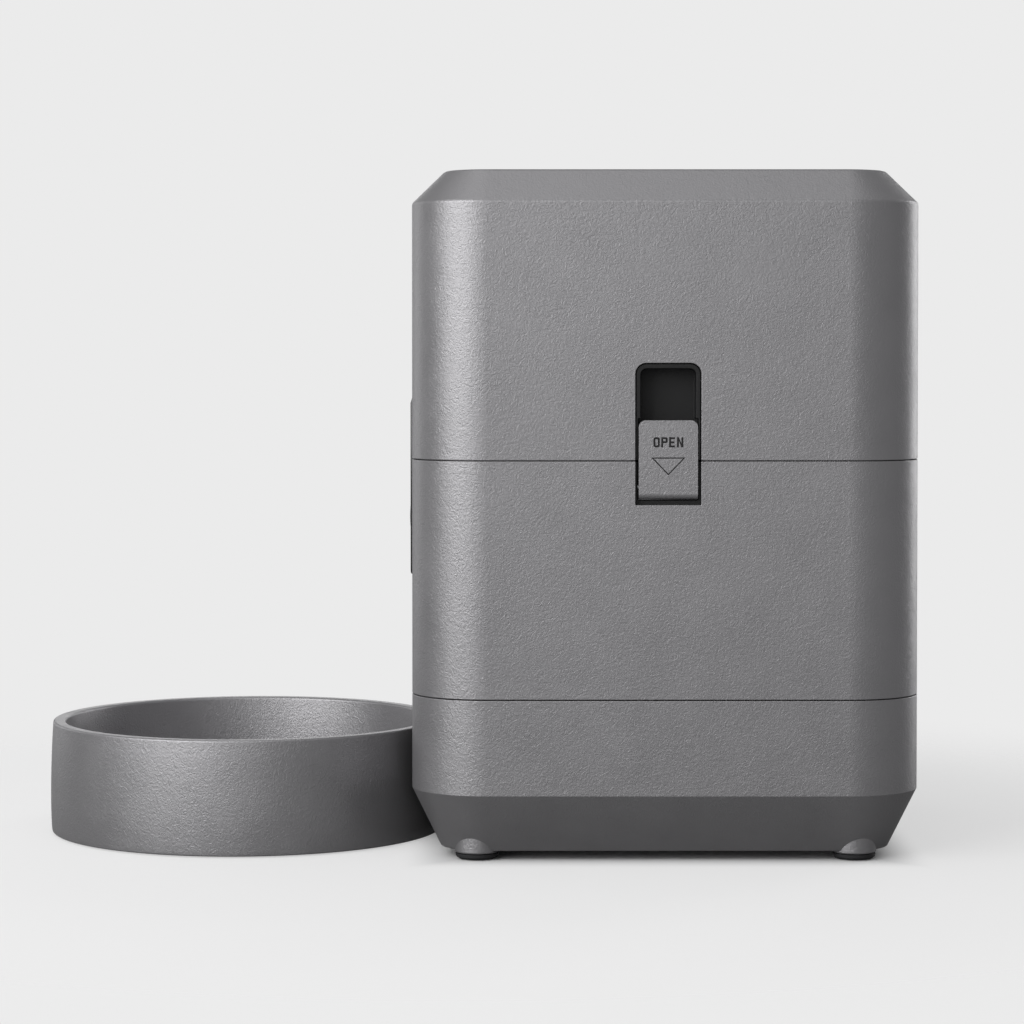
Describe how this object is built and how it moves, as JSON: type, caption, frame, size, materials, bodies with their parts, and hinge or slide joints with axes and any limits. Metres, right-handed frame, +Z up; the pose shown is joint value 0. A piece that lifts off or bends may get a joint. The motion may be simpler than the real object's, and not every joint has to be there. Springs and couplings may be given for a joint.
{
  "type": "automatic pet feeder",
  "caption": "Square-tower dry food feeder with a lift-off latched cover, hopper, motor-driven measuring rotor, chute, front control panel and a separate round bowl nested in its base.",
  "frame": {"origin": "on the floor, at the middle of the box around the feeder and its bowl", "axes": "+Z up, -Y towards the bowl and the control panel, +X towards one latch"},
  "size_m": [0.222, 0.392, 0.3],
  "materials": {
    "shell_grey": "satin, fine moulded grain",
    "gloss_black": "gloss",
    "black_plastic": "fine matte",
    "white_plastic": "satin",
    "inner_grey": "satin",
    "circuit_board": "solder mask",
    "cell_wrap": "printed sleeve, plain",
    "rubber": "matte",
    "silicone": "matte",
    "lens": "clear",
    "steel": "satin"
  },
  "bodies": {
    "housing": {"main_housing": "shell_grey", "base_housing": "shell_grey", "hopper": "inner_grey", "rotor_deck": "white_plastic", "baffle": "white_plastic", "chute": "black_plastic", "food_sensor": "black_plastic", "gearbox_case": "white_plastic", "gear_motor": "steel", "battery_1": "cell_wrap", "battery_2": "cell_wrap", "battery_3": "cell_wrap", "battery_contact_front": "steel", "battery_contact_back": "steel", "main_board": "circuit_board", "speaker": "black_plastic", "power_socket": "black_plastic", "panel_bezel": "gloss_black", "display_window": "gloss_black", "display_module": "black_plastic", "status_lens": "lens", "set_switch": "black_plastic", "feed_switch": "black_plastic", "panel_board": "circuit_board", "panel_backing": "black_plastic", "foot_front_right": "rubber", "foot_back_right": "rubber", "foot_back_left": "rubber", "foot_front_left": "rubber", "case_screw_front_right": "steel", "case_screw_back_right": "steel", "case_screw_back_left": "steel", "case_screw_front_left": "steel", "door_screw_right": "steel", "door_screw_left": "steel", "battery_door": "shell_grey", "latch_recess_lower_right": "black_plastic", "latch_recess_lower_left": "black_plastic", "latch_pin_right": "steel", "latch_pin_left": "steel", "latch_spring_right": "steel", "latch_spring_left": "steel"},
    "cover": {"top_cover": "shell_grey", "lid_plate": "white_plastic", "lid_seal": "silicone", "drier_box": "white_plastic", "latch_recess_upper_right": "black_plastic", "latch_recess_upper_left": "black_plastic"},
    "latch_right": {"latch_lever_right": "shell_grey"},
    "latch_left": {"latch_lever_left": "shell_grey"},
    "bowl": {"bowl": "shell_grey", "bowl_grip_ring": "rubber"},
    "rotor": {"rotor": "white_plastic", "output_shaft": "steel", "output_gear": "white_plastic", "stirrer": "inner_grey"},
    "idler": {"idler_gear": "white_plastic"},
    "motor_rotor": {"motor_pinion": "steel"},
    "set_button": {"set_button": "black_plastic"},
    "feed_button": {"feed_button": "black_plastic"}
  },
  "joints": [
    {"name": "cover_lift", "type": "slide", "parent": "housing", "child": "cover", "axis": [0, 0, 1], "range_m": [0, 0.135]},
    {"name": "latch_right_hinge", "type": "hinge", "parent": "housing", "child": "latch_right", "pos_m": [0.1054, 0.085, 0.1626], "axis": [0, 1, 0], "range_deg": [0, 65], "stiffness_Nm_per_rad": 0.02, "springref_deg": -11.46},
    {"name": "latch_left_hinge", "type": "hinge", "parent": "housing", "child": "latch_left", "pos_m": [-0.1054, 0.085, 0.1626], "axis": [0, -1, 0], "range_deg": [0, 65], "stiffness_Nm_per_rad": 0.02, "springref_deg": -11.46},
    {"name": "bowl_pull", "type": "slide", "parent": "housing", "child": "bowl", "axis": [0, -1, 0], "range_m": [0, 0.15]},
    {"name": "rotor_spin", "type": "hinge", "parent": "housing", "child": "rotor", "pos_m": [0, 0.085, 0.14], "axis": [0, 0, 1], "continuous": true},
    {"name": "idler_spin", "type": "hinge", "parent": "housing", "child": "idler", "pos_m": [0, 0.121, 0.105], "axis": [0, 0, 1], "continuous": true},
    {"name": "motor_spin", "type": "hinge", "parent": "housing", "child": "motor_rotor", "pos_m": [0.03, 0.121, 0.105], "axis": [0, 0, 1], "continuous": true},
    {"name": "set_press", "type": "slide", "parent": "housing", "child": "set_button", "axis": [0, 1, 0], "range_m": [0, 0.0012], "stiffness_N_per_m": 900, "springref_m": -0.0004},
    {"name": "feed_press", "type": "slide", "parent": "housing", "child": "feed_button", "axis": [0, 1, 0], "range_m": [0, 0.0012], "stiffness_N_per_m": 900, "springref_m": -0.0004}
  ],
  "couplings": [
    {"joint": "idler_spin", "follows": "rotor_spin", "ratio": -3},
    {"joint": "motor_spin", "follows": "rotor_spin", "ratio": 9}
  ]
}
